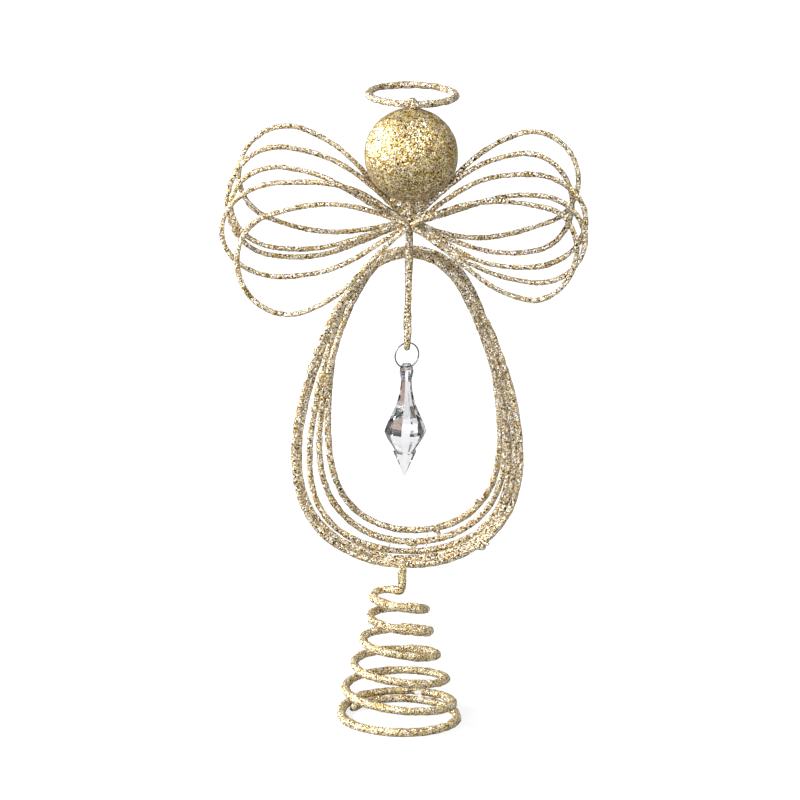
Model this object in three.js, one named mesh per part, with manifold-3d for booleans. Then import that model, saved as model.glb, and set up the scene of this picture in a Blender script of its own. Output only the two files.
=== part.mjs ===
// An angel tree topper of glittered wire: a halo, a ball for the head, wings of fanned petals and
// a gown of nested egg-shaped loops, with a clear drop hanging inside the gown and a conical
// spring for a foot. Millimetres, +Z up. The origin is on the spring's axis, at the level that
// the spring stands on, and the figure faces -Y.
import * as THREE from "three";
import { mergeVertices } from "three/addons/utils/BufferGeometryUtils.js";
import Module from "manifold-3d";

const TURN = 2 * Math.PI;
const degrees = THREE.MathUtils.degToRad;

// Gap between pieces that touch on the real object
const clearance = 0.3;

// Radii of the wires with their coat of glitter
const centreWireRadius = 1.4;
const petalWireRadius = 1.1;
const loopWireRadius = 1.4;
const haloWireRadius = 1.45;
const springWireRadius = 1.75;
const ringWireRadius = 0.3;

// Foot spring, which widens downwards and ends in one flat turn
const springTopRadius = 11.3;
const springFootRadius = 25.8;
const springRise = 53.5;
const springTurns = 5.955;
const turnsInRise = 5.04;
const turnsInWidening = 5.85;
const firstTurnAngle = degrees(180);
const footBlend = 0.3;
const footCut = 0.5;
const pitchPower = 1.09;

// The wire's end turns in, to lie inside the flat turn with this much room beside it
const endRoom = 1.15;
const endInset = 2 * springWireRadius + endRoom;
const turnsBeforeInset = 5.4;
const turnsInInset = 0.38;

// The turns lean, with this side of each one higher, and stand off the stem's axis on the side
// where they start. Towards the foot they lie level and round the axis again.
const springShift = 1.2;
const turnTilt = 1.44;
const highSideAngle = degrees(246);
const levellingPower = 8;

// Stem, the straight top end of the spring's wire, and the run that joins it to the first turn
const stemLength = 15.8;
const stemBendRadius = 3;
const runDrop = 1.9;
const runStartAngle = degrees(130);

// Gown of nested loops, the outermost first and nearest to the front
const gownHeight = 137.6;
const gownHalfWidth = 48.4;
const stemOverlap = 4.5;
const loopHeightShares = [1, 0.985, 0.97, 0.945, 0.914];
const loopWidthShares = [1, 0.961, 0.886, 0.827, 0.764];
const loopTaperShares = [0.267, 0.31, 0.277, 0.295, 0.145];
const loopShoulderShares = [0.059, 0.056, 0.118, 0.07, 0.128];
const loopLeans = [0.74, 0.58, 1.21, 2.06, 2.63].map(degrees);

// Wings: petals from the top one, at the back, to the lowest, at the front
const shoulderRise = 15.1;
const petalLength = 75.4;
const petalWidth = 43;
const petalRootRadius = 1.3;
const rootHandleShare = 0.35;
const crownHandleShare = 0.3;
const tipHandleShare = 0.55;
const wings = [
  {
    name: "wing_left",
    facing: -1,
    lengthShares: [0.994, 1.017, 0.972, 1.04, 0.987],
    widthShares: [0.964, 1.105, 0.818, 0.952, 1.041],
    crownShares: [0.733, 0.717, 0.717, 0.677, 0.728],
    tilts: [20.3, 7.8, 5.9, -3.9, -19.2].map(degrees),
    upperRootAngles: [22.3, 36.2, 18.3, 40.8, 42.0].map(degrees),
    lowerRootAngles: [35.2, 31.3, 23.1, 30.1, 21.6].map(degrees),
  },
  {
    name: "wing_right",
    facing: 1,
    lengthShares: [0.97, 0.905, 0.952, 0.974, 0.937],
    widthShares: [0.943, 0.995, 0.946, 0.882, 0.951],
    crownShares: [0.749, 0.716, 0.66, 0.729, 0.765],
    tilts: [20.7, 10.8, 2.2, -5.9, -12.0].map(degrees),
    upperRootAngles: [22.1, 34.2, 35.6, 19.4, 40.3].map(degrees),
    lowerRootAngles: [46.2, 33.7, 33.5, 25.7, 17.3].map(degrees),
  },
];

// Head and halo
const ballRadius = 20;
const neckLength = 9.6;
const haloRadius = 18.5;
const nubRise = 1.5;

// Hanger, the lower end of the centre wire, turned back up into an eye
const hangerDrop = 38.05;
const eyeBendRadius = 2.15;
const tailLength = 12;

// Jump ring and clear drop
const ringRadius = 5.5;
const pendantYaw = degrees(25);
const dropLength = 50.2;
const dropRadius = 9.06;
const dropHoleRadius = 1.2;
const dropCapRise = 2;
const dropOutlineShares = [
  [0, 1],
  [0.07, 0.985],
  [0.552, 0.79],
  [0.545, 0.782],
  [0.493, 0.769],
  [0.84, 0.673],
  [1, 0.61],
  [0.911, 0.556],
  [0.456, 0.367],
  [0.306, 0.257],
  [0.252, 0.159],
  [0.336, 0.085],
  [0.31, 0.04],
  [0.2, 0.012],
  [0, 0],
];

// Facets
const wireSides = 6;
const thickWireSides = 8;
const stepsPerTurn = 24;
const bendSteps = 5;
const runSteps = 8;
const loopSteps = 44;
const rootSteps = 4;
const strandSteps = 9;
const crownSteps = 8;
const haloSteps = 36;
const eyeSteps = 10;
const ballSegments = 28;
const ballRings = 16;
const dropFacets = 10;
const holeFacets = 12;

// Overrun of the pieces that only cut
const cutOverrun = 5;

// Heights, each worked out from what carries it
const footZ = springWireRadius - footCut;
const firstTurnZ = footZ + springRise;
const runZ = firstTurnZ + runDrop;
const stemTopZ = runZ + stemLength;
const archZ = stemTopZ - stemOverlap + gownHeight;
const wingZ = archZ + shoulderRise;
const ballZ = wingZ + neckLength + ballRadius;
const haloZ = ballZ + ballRadius + clearance + haloWireRadius;
const nubTopZ = haloZ + haloWireRadius + nubRise;
const eyeZ = archZ - hangerDrop;
const eyeSeat = eyeBendRadius - centreWireRadius - ringWireRadius - clearance;

const wasm = await Module();
wasm.setup();

function solidFrom(geometry) {
  const bare = geometry.clone();
  bare.deleteAttribute("normal");
  bare.deleteAttribute("uv");
  const merged = mergeVertices(bare);
  return new wasm.Manifold(
    new wasm.Mesh({
      numProp: 3,
      vertProperties: new Float32Array(merged.attributes.position.array),
      triVerts: new Uint32Array(merged.index.array),
    }),
  );
}

function geometryFrom(solid) {
  const mesh = solid.getMesh();
  const geometry = new THREE.BufferGeometry();
  geometry.setAttribute("position", new THREE.BufferAttribute(mesh.vertProperties, 3));
  geometry.setIndex(new THREE.BufferAttribute(mesh.triVerts, 1));
  geometry.computeVertexNormals();
  return geometry;
}

function cut(geometry, tool) {
  return geometryFrom(solidFrom(geometry).subtract(solidFrom(tool)));
}

// A round wire along the points, with its section turned as little as possible on the way. A
// closed wire joins its last point to its first, and an open one ends square to its path.
function wireGeometry(points, radius, { sides = wireSides, closed = false, normal }) {
  const count = points.length;
  const positions = [];
  const faces = [];
  const pointAt = (i) =>
    closed ? points[(i + count) % count] : points[THREE.MathUtils.clamp(i, 0, count - 1)];
  const across = normal.clone();
  points.forEach((point, i) => {
    const along = pointAt(i + 1).clone().sub(pointAt(i - 1)).normalize();
    across.addScaledVector(along, -across.dot(along)).normalize();
    const upright = along.clone().cross(across);
    for (let side = 0; side < sides; side += 1) {
      const angle = (TURN * side) / sides;
      const vertex = point
        .clone()
        .addScaledVector(across, radius * Math.cos(angle))
        .addScaledVector(upright, radius * Math.sin(angle));
      positions.push(...vertex.toArray());
    }
  });
  const spans = closed ? count : count - 1;
  for (let i = 0; i < spans; i += 1) {
    for (let side = 0; side < sides; side += 1) {
      const next = (side + 1) % sides;
      const here = i * sides;
      const there = ((i + 1) % count) * sides;
      faces.push(here + side, there + next, there + side);
      faces.push(here + side, here + next, there + next);
    }
  }
  if (!closed) {
    const end = (count - 1) * sides;
    for (let side = 1; side < sides - 1; side += 1) {
      faces.push(0, side + 1, side);
      faces.push(end, end + side, end + side + 1);
    }
  }
  const geometry = new THREE.BufferGeometry();
  geometry.setAttribute("position", new THREE.Float32BufferAttribute(positions, 3));
  geometry.setIndex(faces);
  geometry.computeVertexNormals();
  return geometry;
}

// Least gap that a wire leaves to itself, between points that lie further apart along it than
// the length of half a turn
function leastGap(points, radius, halfTurn) {
  const lengths = [0];
  for (let i = 1; i < points.length; i += 1) {
    lengths.push(lengths[i - 1] + points[i].distanceTo(points[i - 1]));
  }
  let least = Infinity;
  points.forEach((a, i) => {
    for (let j = i + 1; j < points.length; j += 1) {
      if (lengths[j] - lengths[i] > halfTurn) {
        least = Math.min(least, a.distanceTo(points[j]));
      }
    }
  });
  return least - 2 * radius;
}

function glitterGold() {
  return new THREE.MeshStandardMaterial({ color: 0xc9a765, roughness: 0.5, metalness: 0.8 });
}

function silver() {
  return new THREE.MeshStandardMaterial({ color: 0xb9b9bc, roughness: 0.25, metalness: 1 });
}

function clearAcrylic() {
  return new THREE.MeshStandardMaterial({
    color: 0xf1f4f6,
    roughness: 0.05,
    metalness: 0,
    transparent: true,
    opacity: 0.4,
  });
}

function piece(name, geometry, material) {
  const mesh = new THREE.Mesh(geometry, material);
  mesh.name = name;
  return mesh;
}

// The spring's path: down the stem, round a tight bend, out along the run to the first turn, and
// down the left-handed turns, the last of which levels out on the ground.
function springPath() {
  const points = [new THREE.Vector3(0, 0, stemTopZ)];
  const aside = new THREE.Vector3(Math.cos(firstTurnAngle), Math.sin(firstTurnAngle), 0);
  const place = (distance, angle, z, shift = 0) => {
    const point = new THREE.Vector3(distance * Math.cos(angle), distance * Math.sin(angle), z);
    points.push(point.addScaledVector(aside, shift));
  };
  for (let i = 0; i <= bendSteps; i += 1) {
    const bend = (TURN / 4) * (i / bendSteps);
    const out = stemBendRadius * (1 - Math.cos(bend));
    place(out, runStartAngle, runZ + stemBendRadius * (1 - Math.sin(bend)));
  }
  for (let i = 1; i < runSteps; i += 1) {
    const share = i / runSteps;
    const reach = Math.sin((TURN / 4) * share);
    const angle = runStartAngle + (firstTurnAngle - runStartAngle) * share ** 2;
    const distance = stemBendRadius + (springTopRadius + springShift - stemBendRadius) * reach;
    place(distance, angle, runZ - runDrop * share);
  }
  const steps = Math.round(springTurns * stepsPerTurn);
  for (let i = 0; i <= steps; i += 1) {
    const share = i / steps;
    const turn = springTurns * share;
    const widened = (1 - Math.cos((TURN / 2) * Math.min(1, turn / turnsInWidening))) / 2;
    const turnedIn = THREE.MathUtils.smoothstep(turn - turnsBeforeInset, 0, turnsInInset);
    const distance =
      springTopRadius + (springFootRadius - springTopRadius) * widened - endInset * turnedIn;
    const angle = firstTurnAngle + TURN * turn;
    const lean = Math.cos(angle - highSideAngle) - Math.cos(firstTurnAngle - highSideAngle);
    const leaning = Math.max(0, 1 - (turn / turnsInRise) ** levellingPower);
    const above = springRise * (1 - (turn / turnsInRise) ** pitchPower) + turnTilt * lean * leaning;
    const levelled = (above + Math.hypot(above, footBlend)) / 2;
    place(distance, angle, footZ + levelled, springShift * leaning);
  }
  return points;
}

function treeSpring() {
  const path = springPath();
  const gap = leastGap(path, springWireRadius, (TURN / 2) * springTopRadius);
  console.log("least gap of the spring to itself:", gap.toFixed(2), "mm");
  const normal = new THREE.Vector3(1, 0, 0);
  const turns = wireGeometry(path, springWireRadius, { normal });
  const ground = new THREE.BoxGeometry(
    2 * (springFootRadius + cutOverrun),
    2 * (springFootRadius + cutOverrun),
    cutOverrun,
  );
  ground.translate(0, 0, -cutOverrun / 2);
  return piece("tree_spring", cut(turns, ground), glitterGold());
}

// One loop of the gown: an egg with its top at the local origin, wider below than above.
function gownLoop(index) {
  const height = gownHeight * loopHeightShares[index];
  const halfWidth = gownHalfWidth * loopWidthShares[index];
  const girth = (t) =>
    Math.sin(t) *
    (1 - loopTaperShares[index] * Math.cos(t) + loopShoulderShares[index] * Math.cos(2 * t));
  const angles = Array.from({ length: loopSteps }, (_, i) => (TURN * i) / loopSteps);
  const widest = Math.max(...angles.map(girth));
  const points = angles.map(
    (t) => new THREE.Vector3((halfWidth * girth(t)) / widest, 0, (-height * (1 - Math.cos(t))) / 2),
  );
  const normal = new THREE.Vector3(0, 1, 0);
  const geometry = wireGeometry(points, loopWireRadius, { closed: true, normal });
  return piece(`body_loop_${index + 1}`, geometry, glitterGold());
}

// The loops stand one behind the other. The first rests on the back of the centre wire at the
// arch and on the back of the stem below, so all of them lean back a little.
function gown() {
  const group = new THREE.Group();
  const archSeat = centreWireRadius + clearance + loopWireRadius;
  const stemSeat = springWireRadius + clearance + loopWireRadius;
  const leanBack = Math.asin((stemSeat - archSeat) / gownHeight);
  const pitch = 2 * loopWireRadius + clearance;
  loopLeans.forEach((lean, index) => {
    const loop = gownLoop(index);
    loop.position.set(0, archSeat + pitch * index, archZ);
    loop.rotation.set(leanBack, -lean, 0);
    group.add(loop);
  });
  return group;
}

// One petal, lying along +X from the bend at its root. Its strands leave the bend at their own
// angles, meet at the crown and close in a rounded tip.
function petalPoints(wing, index) {
  const length = petalLength * wing.lengthShares[index];
  const halfWidth = (petalWidth * wing.widthShares[index]) / 2;
  const crown = length * wing.crownShares[index];
  const at = (x, z) => new THREE.Vector3(x, 0, z);
  const strand = (angle, up) => {
    const start = at(
      petalRootRadius * (1 - Math.sin(angle)),
      up * petalRootRadius * Math.cos(angle),
    );
    const handle = length * rootHandleShare;
    const out = new THREE.CubicBezierCurve3(
      start,
      at(start.x + handle * Math.cos(angle), start.z + up * handle * Math.sin(angle)),
      at(crown - length * crownHandleShare, up * halfWidth),
      at(crown, up * halfWidth),
    );
    const round = new THREE.CubicBezierCurve3(
      at(crown, up * halfWidth),
      at(crown + (length - crown) * tipHandleShare, up * halfWidth),
      at(length, up * halfWidth * tipHandleShare),
      at(length, 0),
    );
    return [...out.getPoints(strandSteps), ...round.getPoints(crownSteps).slice(1)];
  };
  const upperAngle = wing.upperRootAngles[index];
  const lowerAngle = wing.lowerRootAngles[index];
  const points = [...strand(upperAngle, 1), ...strand(lowerAngle, -1).reverse().slice(1)];
  const from = 0.75 * TURN - lowerAngle;
  const to = 0.25 * TURN + upperAngle;
  for (let i = 1; i < rootSteps; i += 1) {
    const angle = from + ((to - from) * i) / rootSteps;
    points.push(
      at(petalRootRadius * (1 + Math.cos(angle)), petalRootRadius * Math.sin(angle)),
    );
  }
  return points;
}

// The petals of both wings lie in layers. The middle layer is at the centre wire's own depth, so
// its petals stop beside the wire, and in the other layers left and right meet across it.
function bothWings() {
  const group = new THREE.Group();
  const besideWire = centreWireRadius + clearance + petalWireRadius;
  const meeting = clearance / 2 + petalWireRadius;
  const pitch = 2 * petalWireRadius + clearance;
  const normal = new THREE.Vector3(0, 1, 0);
  for (const wing of wings) {
    const middle = (wing.tilts.length - 1) / 2;
    wing.tilts.forEach((tilt, index) => {
      const layer = middle - index;
      const depth = Math.sign(layer) * (besideWire + pitch * (Math.abs(layer) - 1));
      const inset = layer === 0 ? besideWire : meeting;
      const points = petalPoints(wing, index);
      const geometry = wireGeometry(points, petalWireRadius, { closed: true, normal });
      const petal = piece(`${wing.name}_${index + 1}`, geometry, glitterGold());
      petal.position.set(wing.facing * inset, depth, wingZ);
      petal.rotation.set(0, -tilt, wing.facing < 0 ? TURN / 2 : 0, "ZYX");
      group.add(petal);
    });
  }
  return group;
}

// The centre wire runs from the nub over the head down to the eye, a bend that turns it back up.
function centreWire() {
  const points = [nubTopZ, ballZ, wingZ, archZ].map((z) => new THREE.Vector3(0, 0, z));
  for (let i = 0; i <= eyeSteps; i += 1) {
    const angle = TURN / 2 + ((TURN / 2) * i) / eyeSteps;
    points.push(
      new THREE.Vector3(
        0,
        eyeBendRadius * (1 + Math.cos(angle)),
        eyeZ + eyeBendRadius * Math.sin(angle),
      ),
    );
  }
  points.push(new THREE.Vector3(0, 2 * eyeBendRadius, eyeZ + tailLength));
  const normal = new THREE.Vector3(1, 0, 0);
  const geometry = wireGeometry(points, centreWireRadius, { sides: thickWireSides, normal });
  return piece("centre_wire", geometry, glitterGold());
}

// The head is a ball bored through for the centre wire.
function headBall() {
  const boreRadius = centreWireRadius + clearance;
  const mouth = Math.acos(boreRadius / ballRadius);
  const outline = [];
  for (let i = 0; i <= ballRings; i += 1) {
    const angle = mouth * ((2 * i) / ballRings - 1);
    outline.push(new THREE.Vector2(ballRadius * Math.cos(angle), ballRadius * Math.sin(angle)));
  }
  outline.push(outline[0].clone());
  const geometry = new THREE.LatheGeometry(outline, ballSegments).rotateX(TURN / 4);
  const ball = piece("head_ball", geometry, glitterGold());
  ball.position.z = ballZ;
  return ball;
}

// The halo is a ring bent round from one side of the nub to the other, behind it.
function halo() {
  const halfGap = Math.asin((centreWireRadius + clearance) / haloRadius);
  const points = [];
  for (let i = 0; i <= haloSteps; i += 1) {
    const angle = -TURN / 4 + halfGap + ((TURN - 2 * halfGap) * i) / haloSteps;
    points.push(new THREE.Vector3(haloRadius * Math.cos(angle), haloRadius * Math.sin(angle), 0));
  }
  const normal = new THREE.Vector3(0, 0, 1);
  const geometry = wireGeometry(points, haloWireRadius, { sides: thickWireSides, normal });
  const ring = piece("halo_ring", geometry, glitterGold());
  ring.position.set(0, haloRadius, haloZ);
  return ring;
}

function jumpRing() {
  const points = Array.from({ length: stepsPerTurn }, (_, i) => {
    const angle = (TURN * i) / stepsPerTurn;
    return new THREE.Vector3(ringRadius * Math.cos(angle), 0, ringRadius * Math.sin(angle));
  });
  const normal = new THREE.Vector3(0, 1, 0);
  const geometry = wireGeometry(points, ringWireRadius, { closed: true, normal });
  const ring = piece("jump_ring", geometry, silver());
  ring.position.z = -ringRadius;
  return ring;
}

// The drop hangs by the hole in its cap, whose mouths rest on the rising sides of the ring.
function crystalDrop() {
  const outline = dropOutlineShares.map(
    ([radius, depth]) => new THREE.Vector2(dropRadius * radius, dropCapRise - dropLength * depth),
  );
  const body = new THREE.LatheGeometry(outline, dropFacets).rotateX(TURN / 4);
  const hole = new THREE.CylinderGeometry(
    dropHoleRadius,
    dropHoleRadius,
    2 * dropRadius,
    holeFacets,
  ).rotateZ(TURN / 4);
  const capHalfWidth = dropRadius * Math.max(...dropOutlineShares.slice(-4).map(([r]) => r));
  const sideRise = ringRadius - Math.sqrt(ringRadius ** 2 - capHalfWidth ** 2);
  const drop = piece("crystal_drop", cut(body, hole), clearAcrylic());
  drop.position.z = -2 * ringRadius + sideRise + ringWireRadius + clearance - dropHoleRadius;
  return drop;
}

const pendant = new THREE.Group();
pendant.position.set(0, eyeBendRadius, eyeZ - eyeSeat);
pendant.rotation.z = pendantYaw;
pendant.add(jumpRing(), crystalDrop());

const topper = new THREE.Group();
topper.add(treeSpring(), gown(), bothWings(), centreWire(), headBall(), halo(), pendant);

export default topper;
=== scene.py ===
import math

import bpy
import numpy as np
from mathutils import Matrix, Vector, noise


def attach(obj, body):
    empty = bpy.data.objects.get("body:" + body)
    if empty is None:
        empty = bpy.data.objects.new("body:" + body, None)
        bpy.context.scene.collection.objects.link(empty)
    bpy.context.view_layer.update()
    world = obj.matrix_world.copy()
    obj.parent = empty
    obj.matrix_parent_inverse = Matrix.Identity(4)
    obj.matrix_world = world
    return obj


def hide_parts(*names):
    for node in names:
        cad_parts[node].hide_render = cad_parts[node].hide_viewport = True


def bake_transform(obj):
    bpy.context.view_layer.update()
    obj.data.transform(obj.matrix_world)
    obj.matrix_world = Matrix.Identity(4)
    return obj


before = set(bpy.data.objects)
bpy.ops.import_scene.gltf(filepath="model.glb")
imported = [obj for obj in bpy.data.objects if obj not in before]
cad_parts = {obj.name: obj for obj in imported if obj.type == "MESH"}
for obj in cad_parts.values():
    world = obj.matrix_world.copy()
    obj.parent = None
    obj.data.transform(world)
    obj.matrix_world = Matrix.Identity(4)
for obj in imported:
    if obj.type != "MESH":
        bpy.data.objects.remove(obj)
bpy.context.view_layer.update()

# The angel topper in gold glitter. Its lengths are in millimetres up to the making of a mesh, and
# the sizes are those of the part's own source. The floor and the lamps are in metres.
MM = 0.001
TURN = 2 * math.pi

# Wires with their coat of glitter
centre_wire_radius = 1.4
petal_wire_radius = 1.1
loop_wire_radius = 1.4
halo_wire_radius = 1.45
spring_wire_radius = 1.75
ring_wire_radius = 0.3
clearance = 0.3

# Foot spring and stem
spring_top_radius = 11.3
spring_foot_radius = 25.8
spring_rise = 53.5
spring_turns = 5.955
turns_in_rise = 5.04
turns_in_widening = 5.85
pitch_power = 1.09
end_room = 1.15
end_inset = 2 * spring_wire_radius + end_room
turns_before_inset = 5.4
turns_in_inset = 0.38
first_turn_angle = math.radians(180)
foot_blend = 0.3
foot_cut = 0.5
spring_shift = 1.2
turn_tilt = 1.44
high_side_angle = math.radians(246)
levelling_power = 8
stem_length = 15.8
stem_bend_radius = 3
run_drop = 1.9
run_start_angle = math.radians(130)

# Gown of nested loops
gown_height = 137.6
gown_half_width = 48.4
stem_overlap = 4.5
loop_height_shares = (1, 0.985, 0.97, 0.945, 0.914)
loop_width_shares = (1, 0.961, 0.886, 0.827, 0.764)
loop_taper_shares = (0.267, 0.31, 0.277, 0.295, 0.145)
loop_shoulder_shares = (0.059, 0.056, 0.118, 0.07, 0.128)
loop_leans = np.radians((0.74, 0.58, 1.21, 2.06, 2.63))

# Wings of fanned petals
shoulder_rise = 15.1
petal_length = 75.4
petal_width = 43
petal_root_radius = 1.3
root_handle_share = 0.35
crown_handle_share = 0.3
tip_handle_share = 0.55
wings = {
    "wing_left": {
        "facing": -1,
        "length_shares": (0.994, 1.017, 0.972, 1.04, 0.987),
        "width_shares": (0.964, 1.105, 0.818, 0.952, 1.041),
        "crown_shares": (0.733, 0.717, 0.717, 0.677, 0.728),
        "tilts": np.radians((20.3, 7.8, 5.9, -3.9, -19.2)),
        "upper_root_angles": np.radians((22.3, 36.2, 18.3, 40.8, 42.0)),
        "lower_root_angles": np.radians((35.2, 31.3, 23.1, 30.1, 21.6)),
    },
    "wing_right": {
        "facing": 1,
        "length_shares": (0.97, 0.905, 0.952, 0.974, 0.937),
        "width_shares": (0.943, 0.995, 0.946, 0.882, 0.951),
        "crown_shares": (0.749, 0.716, 0.66, 0.729, 0.765),
        "tilts": np.radians((20.7, 10.8, 2.2, -5.9, -12.0)),
        "upper_root_angles": np.radians((22.1, 34.2, 35.6, 19.4, 40.3)),
        "lower_root_angles": np.radians((46.2, 33.7, 33.5, 25.7, 17.3)),
    },
}

# Head, halo and hanger
ball_radius = 20
neck_length = 9.6
halo_radius = 18.5
nub_rise = 1.5
halo_gap_share = 0.6
hanger_drop = 38.05
eye_bend_radius = 2.15
tail_length = 12
ring_radius = 5.5
pendant_yaw = math.radians(25)

# Heights, each worked out from what carries it
foot_z = spring_wire_radius - foot_cut
run_z = foot_z + spring_rise + run_drop
stem_top_z = run_z + stem_length
arch_z = stem_top_z - stem_overlap + gown_height
wing_z = arch_z + shoulder_rise
ball_z = wing_z + neck_length + ball_radius
halo_z = ball_z + ball_radius + clearance + halo_wire_radius
nub_top_z = halo_z + halo_wire_radius + nub_rise
eye_z = arch_z - hanger_drop
eye_seat = eye_bend_radius - centre_wire_radius - ring_wire_radius - clearance

# Coat of glitter: grains on the surface, and lumps and slow swells in the glue under them
grain_spacing = 0.45
grain_rise = 0.12
lump_length = 3.2
lump_share = 0.18
swell_length = 11
swell_share = 0.18
swell_shift = 50

# Where the random draws start. Loops, petals, beads and threads count on from theirs
seeds = {
    "spring": 1,
    "loops": 10,
    "wing_left": 20,
    "wing_right": 30,
    "centre_wire": 40,
    "halo": 41,
    "ball": 50,
    "fillet": 60,
    "root_glue": 61,
    "loop_beads": 70,
    "loop_threads": 80,
    "spring_beads": 90,
}

# Points along the paths
bend_points = 12
run_points = 24
turn_points = 720
loop_points = 600
strand_points = 80
crown_points = 50
root_points = 10
eye_points = 24
halo_points = 240
ring_points = 160
least_points = 8

# Sides of a wire, and the share of its radius by which a rounded end stops short of a point
least_sides = 12
tip_share = 0.02


def bezier(start, start_handle, end_handle, end, count):
    t = np.linspace(0, 1, count)[:, None]
    first = (1 - t) ** 3 * start + 3 * (1 - t) ** 2 * t * start_handle
    return first + 3 * (1 - t) * t**2 * end_handle + t**3 * end


def spring_path():
    points = [(0, 0, stem_top_z)]
    for bend in np.linspace(0, TURN / 4, bend_points):
        out = stem_bend_radius * (1 - math.cos(bend))
        z = run_z + stem_bend_radius * (1 - math.sin(bend))
        points.append((out * math.cos(run_start_angle), out * math.sin(run_start_angle), z))
    far = spring_top_radius + spring_shift
    for share in np.linspace(0, 1, run_points)[1:-1]:
        angle = run_start_angle + (first_turn_angle - run_start_angle) * share**2
        reach = stem_bend_radius + (far - stem_bend_radius) * math.sin(TURN / 4 * share)
        points.append((reach * math.cos(angle), reach * math.sin(angle), run_z - run_drop * share))
    turn = np.linspace(0, spring_turns, turn_points)
    angle = first_turn_angle + TURN * turn
    widened = (1 - np.cos(TURN / 2 * np.minimum(1, turn / turns_in_widening))) / 2
    inset_share = np.clip((turn - turns_before_inset) / turns_in_inset, 0, 1)
    turned_in = inset_share**2 * (3 - 2 * inset_share)
    risen = turn / turns_in_rise
    lean = np.cos(angle - high_side_angle) - math.cos(first_turn_angle - high_side_angle)
    leaning = np.maximum(0, 1 - risen**levelling_power)
    above = spring_rise * (1 - risen**pitch_power) + turn_tilt * lean * leaning
    levelled = (above + np.hypot(above, foot_blend)) / 2
    spread = spring_foot_radius - spring_top_radius
    across = spring_top_radius + spread * widened - end_inset * turned_in
    x = across * np.cos(angle) + spring_shift * leaning * math.cos(first_turn_angle)
    y = across * np.sin(angle) + spring_shift * leaning * math.sin(first_turn_angle)
    return np.vstack([points, np.column_stack([x, y, foot_z + levelled])])


def loop_path(index):
    height = gown_height * loop_height_shares[index]
    half_width = gown_half_width * loop_width_shares[index]
    t = np.linspace(0, TURN, loop_points, endpoint=False)
    taper = 1 - loop_taper_shares[index] * np.cos(t)
    girth = np.sin(t) * (taper + loop_shoulder_shares[index] * np.cos(2 * t))
    x = half_width * girth / girth.max()
    z = -height * (1 - np.cos(t)) / 2
    lean = loop_leans[index]
    across = x * math.cos(lean) - z * math.sin(lean)
    up = x * math.sin(lean) + z * math.cos(lean)
    arch_seat = centre_wire_radius + clearance + loop_wire_radius
    stem_seat = spring_wire_radius + clearance + loop_wire_radius
    lean_back = math.asin((stem_seat - arch_seat) / gown_height)
    depth = arch_seat + (2 * loop_wire_radius + clearance) * index
    y = depth - up * math.sin(lean_back)
    return np.column_stack([across, y, arch_z + up * math.cos(lean_back)])


def petal_path(wing, index):
    length = petal_length * wing["length_shares"][index]
    half_width = petal_width * wing["width_shares"][index] / 2
    crown = length * wing["crown_shares"][index]
    strands = []
    for up, name in ((1, "upper_root_angles"), (-1, "lower_root_angles")):
        angle = wing[name][index]
        sine, cosine = math.sin(angle), math.cos(angle)
        start = np.array((petal_root_radius * (1 - sine), up * petal_root_radius * cosine))
        leave = start + length * root_handle_share * np.array((cosine, up * sine))
        widest = np.array((crown, up * half_width))
        arrive = np.array((crown - length * crown_handle_share, up * half_width))
        rounding = np.array((crown + (length - crown) * tip_handle_share, up * half_width))
        turning = np.array((length, up * half_width * tip_handle_share))
        out = bezier(start, leave, arrive, widest, strand_points)
        tip = bezier(widest, rounding, turning, np.array((length, 0)), crown_points)
        strands.append(np.vstack([out, tip[1:]]))
    low = 0.75 * TURN - wing["lower_root_angles"][index]
    high = 0.25 * TURN + wing["upper_root_angles"][index]
    bend = np.linspace(low, high, root_points)[1:-1]
    root = petal_root_radius * np.column_stack([1 + np.cos(bend), np.sin(bend)])
    flat = np.vstack([strands[0], strands[1][::-1][1:], root])
    tilt = wing["tilts"][index]
    layer = (len(wing["tilts"]) - 1) / 2 - index
    beside_wire = centre_wire_radius + clearance + petal_wire_radius
    pitch = 2 * petal_wire_radius + clearance
    depth = math.copysign(beside_wire + pitch * (abs(layer) - 1), layer) if layer else 0
    inset = clearance / 2 + petal_wire_radius if layer else beside_wire
    x = inset + flat[:, 0] * math.cos(tilt) - flat[:, 1] * math.sin(tilt)
    z = wing_z + flat[:, 0] * math.sin(tilt) + flat[:, 1] * math.cos(tilt)
    return np.column_stack([wing["facing"] * x, np.full(len(x), depth), z])


def centre_wire_path():
    points = [(0, 0, nub_top_z), (0, 0, ball_z), (0, 0, wing_z), (0, 0, arch_z)]
    for angle in np.linspace(TURN / 2, TURN, eye_points):
        y = eye_bend_radius * (1 + math.cos(angle))
        points.append((0, y, eye_z + eye_bend_radius * math.sin(angle)))
    points.append((0, 2 * eye_bend_radius, eye_z + tail_length))
    return np.array(points)


def halo_path():
    half_gap = math.asin(halo_gap_share * centre_wire_radius / halo_radius)
    angle = np.linspace(half_gap - TURN / 4, 0.75 * TURN - half_gap, halo_points)
    x, y = halo_radius * np.cos(angle), halo_radius * (1 + np.sin(angle))
    return np.column_stack([x, y, np.full(len(x), halo_z)])


def resampled(points, spacing, closed):
    points = np.asarray(points, float)
    if closed:
        points = np.vstack([points, points[:1]])
    lengths = np.linalg.norm(np.diff(points, axis=0), axis=1)
    along = np.concatenate([[0], np.cumsum(lengths)])
    count = max(least_points, round(along[-1] / spacing))
    wanted = np.linspace(0, along[-1], count + 1)
    if closed:
        wanted = wanted[:-1]
    return np.column_stack([np.interp(wanted, along, points[:, axis]) for axis in range(3)])


def smooth_noise(points, length):
    return np.array([noise.noise(Vector(point)) for point in points / length])


def mesh_object(name, vertices, faces):
    mesh = bpy.data.meshes.new(name)
    mesh.from_pydata((vertices * MM).tolist(), [], faces)
    mesh.validate()
    made = bpy.data.objects.new(name, mesh)
    bpy.context.collection.objects.link(made)
    return made


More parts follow.
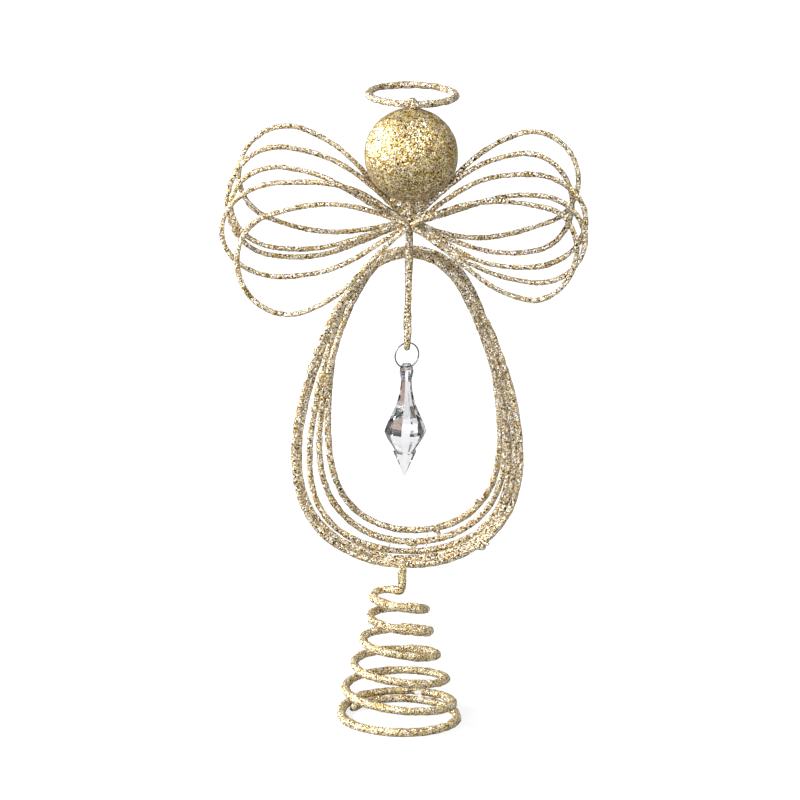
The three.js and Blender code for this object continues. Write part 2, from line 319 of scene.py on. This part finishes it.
def section_frames(points, closed):
    """Unit vectors across and upright to the path at each point, turning as little as possible."""
    if closed:
        tangents = np.roll(points, -1, axis=0) - np.roll(points, 1, axis=0)
    else:
        tangents = np.gradient(points, axis=0)
    tangents /= np.linalg.norm(tangents, axis=1)[:, None]
    across = np.empty_like(points)
    starts_along_y = abs(tangents[0][1]) >= 0.9
    helper = np.array((1.0, 0, 0)) if starts_along_y else np.array((0, 1.0, 0))
    for i, tangent in enumerate(tangents):
        helper = helper - tangent * helper.dot(tangent)
        helper /= np.linalg.norm(helper)
        across[i] = helper
    return across, np.cross(tangents, across)


def skin_faces(rows, sides, closed=False):
    """Faces over rows of points. An open skin has a flat end on its first and its last row."""
    faces = []
    for i in range(rows if closed else rows - 1):
        here = i * sides
        there = (i + 1) % rows * sides
        for side in range(sides):
            after = (side + 1) % sides
            faces.append((here + side, here + after, there + after, there + side))
    if not closed:
        faces.append(tuple(range(sides))[::-1])
        faces.append(tuple(range((rows - 1) * sides, rows * sides)))
    return faces


def wire_shell(path, radius, closed, seed=None, swellings=(), calm=None):
    """Vertices and faces of a wire, lumpy where it has a seed and smooth where it has none.

    swellings are (share of the length, rise, half length). calm is the (share of the length, half
    length) of a stretch without lumps, where another piece moves close by.
    """
    spacing = radius / 2 if seed is None else grain_spacing
    points = resampled(path, spacing, closed)
    count = len(points)
    sides = max(least_sides, round(TURN * radius / spacing))
    across, upright = section_frames(points, closed)
    radii = np.full(count, radius)
    along = np.arange(count) / count
    length = spacing * count
    for place, rise, half in swellings:
        away = np.abs(along - place)
        if closed:
            away = np.minimum(away, 1 - away)
        radii += rise * np.exp(-((away * length / half) ** 2))
    if not closed:
        to_end = np.minimum(np.arange(count), np.arange(count)[::-1]) * spacing
        inside = np.clip(to_end / radius, tip_share, 1)
        radii *= np.sqrt(1 - (1 - inside) ** 2)
    half_steps = 0.5 * (np.arange(count)[:, None] % 2)
    angle = ((np.arange(sides)[None, :] + half_steps) * TURN / sides)[..., None]
    outward = across[:, None] * np.cos(angle) + upright[:, None] * np.sin(angle)
    vertices = (points[:, None] + outward * radii[:, None, None]).reshape(-1, 3)
    if seed is not None:
        random = np.random.default_rng(seed)
        rise = radius * lump_share * smooth_noise(vertices, lump_length)
        rise += radius * swell_share * smooth_noise(vertices + swell_shift, swell_length)
        rise += grain_rise * random.uniform(-1, 1, len(vertices))
        if calm:
            place, half = calm
            away = (along - place) * length / half
            rise *= np.repeat(1 - np.exp(-(away**4)), sides)
        vertices = vertices + outward.reshape(-1, 3) * rise[:, None]
    return vertices, skin_faces(count, sides, closed)


# Beads and threads of glue
bead_least_rows = 5
bead_pole_angle = 0.06
bead_roughness = 0.12
thread_rows = 9
thread_sides = 8
thread_waist_share = 0.6
thread_flare_share = 3.2
thread_roughness = 0.2


def bead_shell(place, half_sizes, seed):
    """A rough bead of glue, drawn out to its half sizes."""
    around = max(least_points, round(TURN * max(half_sizes) / grain_spacing))
    rows = max(bead_least_rows, around // 2)
    steep = np.linspace(bead_pole_angle, TURN / 2 - bead_pole_angle, rows)
    angle = np.arange(around) * TURN / around
    outward = np.stack([
        np.outer(np.sin(steep), np.cos(angle)),
        np.outer(np.sin(steep), np.sin(angle)),
        np.outer(-np.cos(steep), np.ones(around)),
    ], axis=-1).reshape(-1, 3)
    random = np.random.default_rng(seed)
    roughness = bead_roughness * grain_spacing / min(half_sizes)
    rough = 1 + roughness * random.uniform(-1, 1, len(outward))
    return np.array(place) + outward * half_sizes * rough[:, None], skin_faces(rows, around)


def bead_shells(beads, first_seed):
    return [bead_shell(*bead, first_seed + number) for number, bead in enumerate(beads)]


def thread_shell(start, end, radius, seed):
    """A thread of glue, pulled out between two places and thinner in its middle."""
    share = np.linspace(0, 1, thread_rows)
    path = np.array(start, float) + np.outer(share, np.subtract(end, start))
    across, upright = section_frames(path, False)
    widths = radius * (thread_waist_share + thread_flare_share * (share - 0.5) ** 2)
    angle = (np.arange(thread_sides) * TURN / thread_sides)[:, None]
    outward = across[:, None] * np.cos(angle) + upright[:, None] * np.sin(angle)
    random = np.random.default_rng(seed)
    uneven = 1 + thread_roughness * random.uniform(-1, 1, (thread_rows, thread_sides))
    rough = widths[:, None] * uneven
    vertices = (path[:, None] + outward * rough[..., None]).reshape(-1, 3)
    return vertices, skin_faces(thread_rows, thread_sides)


def joined(shells):
    vertices, faces, offset = [], [], 0
    for some_vertices, some_faces in shells:
        vertices.append(some_vertices)
        faces += [tuple(offset + v for v in face) for face in some_faces]
        offset += len(some_vertices)
    return np.vstack(vertices), faces


def linear(red, green, blue):
    """A colour written as it shows, from 0 to 255, in the linear values that a shader takes."""
    shares = [value / 255 for value in (red, green, blue)]
    return (*[s / 12.92 if s <= 0.04045 else ((s + 0.055) / 1.055) ** 2.4 for s in shares], 1)


def grey(value):
    return (value, value, value, 1)


def emptied_nodes(owner):
    """The nodes and links of a material or a world, emptied."""
    owner.use_nodes = True
    owner.node_tree.nodes.clear()
    return owner.node_tree.nodes, owner.node_tree.links


def new_material(name):
    material = bpy.data.materials.new(name)
    nodes, links = emptied_nodes(material)
    output = nodes.new("ShaderNodeOutputMaterial")
    shader = nodes.new("ShaderNodeBsdfPrincipled")
    links.new(shader.outputs["BSDF"], output.inputs["Surface"])
    return material, nodes, links, shader


def feed(links, value, socket):
    """Links another node's output to the socket, or sets the socket to a plain value."""
    if isinstance(value, bpy.types.NodeSocket):
        links.new(value, socket)
    else:
        socket.default_value = value


def ramp(nodes, links, source, stops, interpolation="LINEAR"):
    made = nodes.new("ShaderNodeValToRGB")
    made.color_ramp.interpolation = interpolation
    elements = made.color_ramp.elements
    while len(elements) < len(stops):
        elements.new(0.5)
    for element, (place, colour) in zip(elements, stops):
        element.position = place
        element.color = colour
    links.new(source, made.inputs["Fac"])
    return made.outputs["Color"]


def vector_math(nodes, links, operation, first, second=None, scale=None):
    made = nodes.new("ShaderNodeVectorMath")
    made.operation = operation
    feed(links, first, made.inputs[0])
    if second is not None:
        feed(links, second, made.inputs[1])
    if scale is not None:
        made.inputs["Scale"].default_value = scale
    return made.outputs["Value" if operation in ("LENGTH", "DOT_PRODUCT") else "Vector"]


def mixed_colour(nodes, links, factor, first, second, blend_type="MIX"):
    """A mix node's colours are its inputs 6 and 7, and its output 2."""
    made = nodes.new("ShaderNodeMix")
    made.data_type = "RGBA"
    made.blend_type = blend_type
    feed(links, factor, made.inputs["Factor"])
    feed(links, first, made.inputs[6])
    feed(links, second, made.inputs[7])
    return made.outputs[2]


def rescaled(nodes, links, value, low, high, new_low=0, new_high=1):
    made = nodes.new("ShaderNodeMapRange")
    made.inputs["From Min"].default_value = low
    made.inputs["From Max"].default_value = high
    made.inputs["To Min"].default_value = new_low
    made.inputs["To Max"].default_value = new_high
    links.new(value, made.inputs["Value"])
    return made.outputs["Result"]


def object_place(nodes):
    return nodes.new("ShaderNodeTexCoord").outputs["Object"]


def noise_pattern(nodes, links, size, detail=2):
    """Smooth noise with patches of about this size."""
    pattern = nodes.new("ShaderNodeTexNoise")
    pattern.inputs["Scale"].default_value = 1 / size
    pattern.inputs["Detail"].default_value = detail
    links.new(object_place(nodes), pattern.inputs["Vector"])
    return pattern.outputs["Fac"]


# Sizes of the materials' patterns
blotch_size = 3 * MM
glue_patch_size = 0.9 * MM
wear_size = 0.6 * MM
haze_size = 2.5 * MM

coat_roughness = 0.28

# Colours of the flakes, each with the share of flakes that come before it
wire_flakes = (
    (0.0, linear(22, 11, 2)),
    (0.14, linear(84, 56, 17)),
    (0.25, linear(136, 104, 42)),
    (0.36, linear(178, 147, 74)),
    (0.47, linear(212, 188, 122)),
    (0.57, linear(226, 213, 180)),
    (0.64, linear(243, 238, 221)),
    (0.72, linear(253, 252, 249)),
    (0.83, linear(255, 255, 255)),
)
spring_flakes = (
    (0.0, linear(26, 14, 2)),
    (0.13, linear(92, 64, 18)),
    (0.24, linear(148, 115, 44)),
    (0.36, linear(188, 160, 88)),
    (0.48, linear(220, 200, 140)),
    (0.59, linear(238, 224, 180)),
    (0.68, linear(249, 243, 218)),
    (0.78, linear(254, 251, 240)),
    (0.9, linear(255, 254, 250)),
)
ball_flakes = (
    (0.0, linear(24, 13, 2)),
    (0.13, linear(82, 60, 16)),
    (0.26, linear(138, 110, 42)),
    (0.41, linear(182, 152, 70)),
    (0.56, linear(212, 186, 106)),
    (0.68, linear(238, 224, 172)),
    (0.77, linear(251, 246, 228)),
    (0.87, linear(255, 255, 252)),
)


def glitter(name, flake_stops, flake_size, sparkle_from, dim, tilt, coat):
    """Glitter of flat flakes, each with its own colour, gloss and tilt, on uneven glue.

    From the share sparkle_from on, the flakes are bright metal. dim is the red of the darkest
    blotches, from 0 to 255, tilt is how far the flakes lean, and coat the weight of the lacquer.
    """
    material, nodes, links, shader = new_material(name)
    shader.inputs["Coat Weight"].default_value = coat
    shader.inputs["Coat Roughness"].default_value = coat_roughness
    flakes = nodes.new("ShaderNodeTexVoronoi")
    flakes.inputs["Scale"].default_value = 1 / flake_size
    links.new(object_place(nodes), flakes.inputs["Vector"])
    split = nodes.new("ShaderNodeSeparateColor")
    links.new(flakes.outputs["Color"], split.inputs["Color"])
    flake_colour = ramp(nodes, links, split.outputs["Red"], flake_stops, "CONSTANT")
    blotches = noise_pattern(nodes, links, blotch_size, detail=3)
    shade_stops = ((0.3, linear(dim, dim - 16, dim - 46)), (0.6, grey(1)))
    shade = ramp(nodes, links, blotches, shade_stops)
    shaded = mixed_colour(nodes, links, 1, flake_colour, shade, "MULTIPLY")
    links.new(shaded, shader.inputs["Base Color"])
    metal_stops = ((0, grey(0.85)), (0.27, grey(0.4)), (sparkle_from, grey(0.9)))
    metal = ramp(nodes, links, split.outputs["Red"], metal_stops, "CONSTANT")
    links.new(metal, shader.inputs["Metallic"])
    gloss = ramp(nodes, links, split.outputs["Blue"], ((0, grey(0.2)), (1, grey(0.5))))
    links.new(gloss, shader.inputs["Roughness"])
    centred = vector_math(nodes, links, "SUBTRACT", flakes.outputs["Color"], (0.5, 0.5, 0.5))
    tilted = vector_math(nodes, links, "SCALE", centred, scale=tilt)
    normal = nodes.new("ShaderNodeNewGeometry").outputs["Normal"]
    summed = vector_math(nodes, links, "ADD", normal, tilted)
    links.new(vector_math(nodes, links, "NORMALIZE", summed), shader.inputs["Normal"])
    return material


def white_glue():
    material, nodes, links, shader = new_material("white_glue")
    patches = noise_pattern(nodes, links, glue_patch_size)
    tone_stops = ((0.3, linear(228, 218, 212)), (0.6, linear(250, 247, 245)))
    links.new(ramp(nodes, links, patches, tone_stops), shader.inputs["Base Color"])
    gloss_stops = ((0.3, grey(0.25)), (0.7, grey(0.45)))
    links.new(ramp(nodes, links, patches, gloss_stops), shader.inputs["Roughness"])
    return material


def bright_steel():
    material, nodes, links, shader = new_material("bright_steel")
    shader.inputs["Metallic"].default_value = 1
    wear = noise_pattern(nodes, links, wear_size)
    tone_stops = ((0.3, linear(112, 112, 116)), (0.7, linear(164, 164, 168)))
    links.new(ramp(nodes, links, wear, tone_stops), shader.inputs["Base Color"])
    gloss_stops = ((0.3, grey(0.18)), (0.7, grey(0.32)))
    links.new(ramp(nodes, links, wear, gloss_stops), shader.inputs["Roughness"])
    return material


def clear_acrylic():
    """Clear plastic with a faint haze, and painted shade that darkens it where its surface turns
    away.
    """
    material, nodes, links, shader = new_material("clear_acrylic")
    shader.inputs["Transmission Weight"].default_value = 1
    shader.inputs["IOR"].default_value = 1.49
    haze = noise_pattern(nodes, links, haze_size, detail=4)
    gloss_stops = ((0.35, grey(0.02)), (0.75, grey(0.07)))
    links.new(ramp(nodes, links, haze, gloss_stops), shader.inputs["Roughness"])
    painted_rim_shade = nodes.new("ShaderNodeLayerWeight")
    painted_rim_shade.inputs["Blend"].default_value = 0.3
    # Painted shade: the base colour greys towards the rims, where the surface turns away from the
    # view
    tone_stops = (
        (0, linear(250, 250, 252)),
        (0.55, linear(238, 238, 242)),
        (0.92, linear(112, 112, 118)),
    )
    links.new(ramp(nodes, links, painted_rim_shade.outputs["Facing"], tone_stops), shader.inputs["Base Color"])
    return material


def dress(piece, material, body=None, node=None):
    piece.data.materials.clear()
    piece.data.materials.append(material)
    if body:
        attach(piece, body)
    if node:
        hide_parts(node)


wire_glitter = glitter(
    "glitter_gold_wire", wire_flakes, 0.41 * MM, sparkle_from=0.72, dim=230, tilt=0.8, coat=0.1
)
spring_glitter = glitter(
    "glitter_gold_spring", spring_flakes, 0.37 * MM, sparkle_from=0.78, dim=226, tilt=0.8, coat=0
)
# The halo's glitter is the wires' glitter with darker blotches and no coat: painted shade that
# darkens the whole halo
shaded_halo_glitter = glitter(
    "glitter_gold_halo_painted_shade", wire_flakes, 0.39 * MM, sparkle_from=0.76, dim=188, tilt=0.8, coat=0
)
ball_glitter = glitter(
    "glitter_gold_ball", ball_flakes, 0.43 * MM, sparkle_from=0.68, dim=206, tilt=0.5, coat=0.06
)


def glitter_wire(name, node, shells):
    piece = mesh_object(name, *joined(shells))
    dress(piece, wire_glitter, "figure", node)


# Swellings of the wires' coats: share of the wire's length, rise, half length
spring_swellings = (
    (0.008, 0.22, 3),
    (0.019, 0.18, 4),
    (0.36, 0.12, 6),
    (0.62, 0.1, 7),
    (0.857, 0.32, 32),
)
loop_swellings = ((0, -0.32, 17), (0.46, 0.1, 10), (0.7, 0.08, 6))
centre_wire_swellings = (
    (0.008, 0.5, 1.8),
    (0.37, 0.15, 3),
    (0.45, 0.22, 4),
    (0.5, 0.3, 5),
    (0.55, 0.3, 3.5),
    (0.6, 0.1, 3),
    (0.78, 0.32, 5),
    (0.82, 0.12, 2.5),
)


def petal_swellings(index):
    return ((0, 0.12, 6), (0.3 + 0.05 * index, 0.1, 3), (0.62 - 0.04 * index, 0.12, 3))


# Bare white glue at the back of the foot, where the wire's end meets the turn above it: place and
# half sizes of its beads
spring_beads = (
    ((8.0, 20.4, 4.4), (1.5, 1.1, 1.1)),
    ((8.9, 19.2, 3.1), (0.9, 1.1, 1.1)),
    ((9.2, 18.2, 2.2), (0.6, 0.7, 0.7)),
)


def follow_spring(piece):
    """Bakes the piece's place into its mesh."""
    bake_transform(piece)


def make_spring():
    vertices, faces = wire_shell(
        spring_path(), spring_wire_radius, False, seeds["spring"], spring_swellings
    )
    vertices[:, 2] = np.maximum(vertices[:, 2], 0)
    coat = mesh_object("spring_coat", vertices, faces)
    dress(coat, spring_glitter, node="tree_spring")
    follow_spring(coat)


def make_spring_glue():
    shells = bead_shells(spring_beads, seeds["spring_beads"])
    glue = mesh_object("spring_glue", *joined(shells))
    dress(glue, white_glue())
    follow_spring(glue)


# Glue on the loops, by the loop's index: beads (place, half sizes), and threads from one loop to
# the next (start, end, radius)
loop_beads = {
    0: (((33.6, 3.1, 76.8), (2.2, 1.7, 1.5)), ((36.0, 2.6, 78.6), (1.3, 1.3, 1.0))),
    3: (((3.6, 12.2, 74.9), (2.4, 1.2, 1.2)), ((10.3, 12.3, 77.2), (1.2, 1.2, 1.2))),
    4: (
        ((14.4, 14.6, 80.7), (1.7, 1.6, 1.6)),
        ((15.4, 14.8, 79.0), (0.9, 0.8, 0.9)),
        ((-7.3, 14.9, 81.3), (1.2, 1.2, 1.1)),
        ((31.5, 15.0, 93.5), (1.2, 1.3, 1.2)),
    ),
}
loop_threads = {
    3: (
        ((-4.9, 12.4, 75.6), (-6.5, 9.3, 73.3), 0.3),
        ((3.1, 12.4, 74.6), (4.4, 9.6, 73.2), 0.55),
        ((6.1, 12.4, 74.6), (4.9, 9.6, 73.2), 0.5),
        ((10.4, 12.4, 77.0), (10.0, 9.3, 73.8), 0.3),
    ),
    4: (
        ((10.9, 15.5, 80.2), (10.4, 12.4, 77.6), 0.25),
        ((15.0, 15.0, 79.4), (15.6, 13.2, 77.6), 0.5),
    ),
}

# Glue along the bottoms of the two outer loops, from and to these shares of their length
fillet_radius = 1.15
fillet_start_share = 0.3717
fillet_end_share = 0.5367


def fillet_shell():
    """Glue that fills the gap between the two outer loops."""
    start = round(fillet_start_share * loop_points)
    end = round(fillet_end_share * loop_points)
    path = (loop_path(0)[start:end] + loop_path(1)[start:end]) / 2
    return wire_shell(path, fillet_radius, False, seeds["fillet"])


def make_gown():
    for index in range(len(loop_leans)):
        seed = seeds["loops"] + index
        shells = [wire_shell(loop_path(index), loop_wire_radius, True, seed, loop_swellings)]
        shells += bead_shells(loop_beads.get(index, ()), seeds["loop_beads"])
        for number, thread in enumerate(loop_threads.get(index, ())):
            shells.append(thread_shell(*thread, seeds["loop_threads"] + number))
        if index == 0:
            shells.append(fillet_shell())
        glitter_wire(f"loop_coat_{index + 1}", f"body_loop_{index + 1}", shells)


def make_wings():
    for name, wing in wings.items():
        for index in range(len(wing["tilts"])):
            path = petal_path(wing, index)
            seed = seeds[name] + index
            shell = wire_shell(path, petal_wire_radius, True, seed, petal_swellings(index))
            glitter_wire(f"{name}_coat_{index + 1}", f"{name}_{index + 1}", [shell])


# Glue round the petals' roots, from just below them up to the head: height, half width, half depth
root_glue = (
    (216.8, 2.2, 1.6),
    (219, 3.4, 2.6),
    (221.5, 3.6, 3.1),
    (224.5, 5, 3.2),
    (228, 7.6, 3.2),
    (231.6, 9.6, 3.2),
)
root_glue_depth = 2.4
root_front_rise = 0.7
root_front_length = 2.2
root_side_rise = 0.9
root_side_length = 2
root_side_shift = 30
root_grain_rise = 0.15


def root_glue_shell():
    heights, widths, depths = np.array(root_glue).T
    z = np.arange(heights[0], heights[-1], grain_spacing)
    half_width, half_depth = np.interp(z, heights, widths), np.interp(z, heights, depths)
    sides = round(4 * widths.max() / grain_spacing)
    angle = np.arange(sides) * TURN / sides
    x = half_width[:, None] * np.cos(angle)
    y = root_glue_depth + half_depth[:, None] * np.sin(angle)
    places = np.stack([x, y, np.repeat(z[:, None], sides, axis=1)], axis=-1).reshape(-1, 3)
    random = np.random.default_rng(seeds["root_glue"])
    front_rise = root_front_rise * smooth_noise(places, root_front_length)
    places[:, 1] += front_rise + root_grain_rise * random.uniform(-1, 1, len(places))
    places[:, 0] += root_side_rise * smooth_noise(places + root_side_shift, root_side_length)
    return places, skin_faces(len(z), sides)


# The centre wire's coat has no lumps round the eye, where the jump ring moves
calm_share = 0.878
calm_half_length = 7


def make_centre_wire():
    shell = wire_shell(
        centre_wire_path(),
        centre_wire_radius,
        False,
        seeds["centre_wire"],
        centre_wire_swellings,
        calm=(calm_share, calm_half_length),
    )
    glitter_wire("rod_coat", "centre_wire", [shell, root_glue_shell()])


def make_halo():
    shell = wire_shell(halo_path(), halo_wire_radius, False, seeds["halo"])
    halo = mesh_object("halo_coat", *shell)
    dress(halo, shaded_halo_glitter, "figure", "halo_ring")


ball_subdivisions = 7
ball_grain_rise = 0.06
ball_inset = 3 * ball_grain_rise
ball_lump_rise = 0.16
ball_lump_length = 4.5


def make_ball():
    bpy.ops.mesh.primitive_ico_sphere_add(subdivisions=ball_subdivisions, radius=1)
    ball = bpy.context.object
    ball.name = "ball_coat"
    directions = np.empty(3 * len(ball.data.vertices))
    ball.data.vertices.foreach_get("co", directions)
    directions = directions.reshape(-1, 3)
    directions /= np.linalg.norm(directions, axis=1)[:, None]
    random = np.random.default_rng(seeds["ball"])
    rise = ball_lump_rise * smooth_noise(directions * ball_radius, ball_lump_length)
    rise += ball_grain_rise * random.uniform(-1, 1, len(directions))
    radii = ball_radius - ball_inset + rise
    places = directions * radii[:, None] + (0, 0, ball_z)
    ball.data.vertices.foreach_set("co", (places * MM).ravel())
    ball.data.update()
    dress(ball, ball_glitter, "figure", "head_ball")


# The bright ring's wire is a little thicker than its solid
bright_wire_radius = 0.36


def make_ring():
    angle = np.linspace(0, TURN, ring_points, endpoint=False)
    out = ring_radius * np.cos(angle)
    x = out * math.cos(pendant_yaw)
    y = eye_bend_radius + out * math.sin(pendant_yaw)
    z = eye_z - eye_seat - ring_radius + ring_radius * np.sin(angle)
    path = np.column_stack([x, y, z])
    ring = mesh_object("ring_bright", *wire_shell(path, bright_wire_radius, True))
    ring.data.shade_smooth()
    dress(ring, bright_steel(), "ring", "jump_ring")


def make_drop():
    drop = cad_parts["crystal_drop"]
    drop.data.materials.clear()
    drop.data.materials.append(clear_acrylic())


# Stage: a floor and a world that show white, and soft lamps
floor_reach = 6
floor_grey = 0.26
sky_grey = 0.42

# To the camera the floor glows, less within glow_near metres of the figure than from glow_far
# metres on, and the grey under its glow keeps a faint shadow
glow_near = 0.1
glow_far = 0.5
glow_near_strength = 0.76
shadow_grey = 0.18

# The floor as the clear drop shows it, from 1 m on the left (0) to 1 m on the right (1)
floor_stops = (
    (0.2, (0.08, 0.1, 0.1, 1)),
    (0.36, (0.26, 0.29, 0.28, 1)),
    (0.4, grey(1)),
    (0.51, grey(1)),
    (0.535, (0.62, 0.47, 0.38, 1)),
    (0.56, (0.5, 0.36, 0.28, 1)),
    (0.6, (0.1, 0.1, 0.11, 1)),
)

# The studio as the clear drop shows it, from the camera's side (0) to the backdrop (1), with the
# right side darker
studio_slant = (-0.35, 0.94, 0)
studio_stops = (
    (0, grey(0.4)),
    (0.25, grey(0.25)),
    (0.34, grey(0.05)),
    (0.5, grey(0.15)),
    (0.64, grey(0.5)),
    (0.74, grey(0.95)),
    (1, grey(1)),
)


def floor_material():
    """Near white to the camera, in its stops' colours through glass, and else a plain grey."""
    material = bpy.data.materials.new("floor_white")
    nodes, links = emptied_nodes(material)
    rays = nodes.new("ShaderNodeLightPath").outputs
    through_glass = rays["Is Transmission Ray"]
    plain = nodes.new("ShaderNodeBsdfDiffuse")
    plain.inputs["Color"].default_value = grey(floor_grey)
    shadowed = nodes.new("ShaderNodeBsdfDiffuse")
    shadow = mixed_colour(nodes, links, through_glass, grey(shadow_grey), grey(0))
    links.new(shadow, shadowed.inputs["Color"])
    away = vector_math(nodes, links, "LENGTH", object_place(nodes))
    strength = rescaled(nodes, links, away, glow_near, glow_far, glow_near_strength)
    across = nodes.new("ShaderNodeSeparateXYZ")
    links.new(object_place(nodes), across.inputs[0])
    from_left = rescaled(nodes, links, across.outputs["X"], -1, 1)
    patches = ramp(nodes, links, from_left, floor_stops)
    glow = nodes.new("ShaderNodeEmission")
    links.new(strength, glow.inputs["Strength"])
    links.new(mixed_colour(nodes, links, through_glass, grey(1), patches), glow.inputs["Color"])
    bright = nodes.new("ShaderNodeAddShader")
    links.new(shadowed.outputs["BSDF"], bright.inputs[0])
    links.new(glow.outputs["Emission"], bright.inputs[1])
    seen = nodes.new("ShaderNodeMath")
    seen.operation = "MAXIMUM"
    links.new(rays["Is Camera Ray"], seen.inputs[0])
    links.new(through_glass, seen.inputs[1])
    mixed = nodes.new("ShaderNodeMixShader")
    links.new(seen.outputs[0], mixed.inputs[0])
    links.new(plain.outputs["BSDF"], mixed.inputs[1])
    links.new(bright.outputs["Shader"], mixed.inputs[2])
    output = nodes.new("ShaderNodeOutputMaterial")
    links.new(mixed.outputs["Shader"], output.inputs["Surface"])
    return material


def make_floor():
    signs = ((-1, -1), (1, -1), (1, 1), (-1, 1))
    corners = [(x * floor_reach, y * floor_reach, 0) for x, y in signs]
    mesh = bpy.data.meshes.new("floor")
    mesh.from_pydata(corners, [], [(0, 1, 2, 3)])
    mesh.materials.append(floor_material())
    floor = bpy.data.objects.new("floor", mesh)
    bpy.context.collection.objects.link(floor)


def make_world():
    """White to the camera. Glass sees a studio, white behind the figure and dim beside it."""
    world = bpy.data.worlds.new("studio")
    bpy.context.scene.world = world
    nodes, links = emptied_nodes(world)
    rays = nodes.new("ShaderNodeLightPath").outputs
    direction = nodes.new("ShaderNodeTexCoord").outputs["Generated"]
    slanted = vector_math(nodes, links, "DOT_PRODUCT", direction, studio_slant)
    studio = ramp(nodes, links, rescaled(nodes, links, slanted, -1, 1), studio_stops)
    unseen = mixed_colour(nodes, links, rays["Is Transmission Ray"], grey(sky_grey), studio)
    colour = mixed_colour(nodes, links, rays["Is Camera Ray"], unseen, grey(1))
    back = nodes.new("ShaderNodeBackground")
    links.new(colour, back.inputs["Color"])
    output = nodes.new("ShaderNodeOutputWorld")
    links.new(back.outputs["Background"], output.inputs["Surface"])


# Lamps: place, size (m) and power (W). Each is turned to the middle of the figure
lamp_target = (0, 0, 0.18)
lamps = {
    "key": ((-1.45, 0.05, 0.88), 0.7, 68),
    "fill": ((0.95, -0.55, 1.35), 0.3, 15),
    "front": ((-0.3, -1.6, 0.9), 1.6, 27),
}


def make_lamps():
    for name, (place, size, power) in lamps.items():
        data = bpy.data.lights.new(name, "AREA")
        data.shape = "DISK"
        data.size = size
        data.energy = power
        lamp = bpy.data.objects.new(name, data)
        lamp.location = place
        lamp.rotation_mode = "QUATERNION"
        lamp.rotation_quaternion = (Vector(lamp_target) - Vector(place)).to_track_quat("-Z", "Y")
        bpy.context.collection.objects.link(lamp)


# Camera, found by matching the part's heights and widths to the photograph, with the focal length
# in the photograph's pixels
camera_distance = 2650
camera_elevation = math.radians(15.69)
camera_roll = math.radians(1.19)
camera_target = (-2.55, 0, 142.57)
focal_pixels = 6207.5
photo_pixels = 800


def make_camera():
    data = bpy.data.cameras.new("camera")
    data.lens = data.sensor_width * (focal_pixels / photo_pixels)
    camera = bpy.data.objects.new("camera", data)
    ahead = Vector((0, math.cos(camera_elevation), -math.sin(camera_elevation)))
    level = Vector((1, 0, 0))
    up = level.cross(ahead)
    right = level * math.cos(camera_roll) + up * math.sin(camera_roll)
    top = up * math.cos(camera_roll) - level * math.sin(camera_roll)
    turned = Matrix((right, top, -ahead)).transposed().to_4x4()
    place = (Vector(camera_target) - ahead * camera_distance) * MM
    camera.matrix_world = Matrix.Translation(place) @ turned
    bpy.context.collection.objects.link(camera)
    bpy.context.scene.camera = camera


make_spring()
make_spring_glue()
make_gown()
make_wings()
make_centre_wire()
make_halo()
make_ball()
make_ring()
make_drop()
make_floor()
make_world()
make_lamps()
make_camera()
bpy.context.scene.view_settings.view_transform = "Standard"
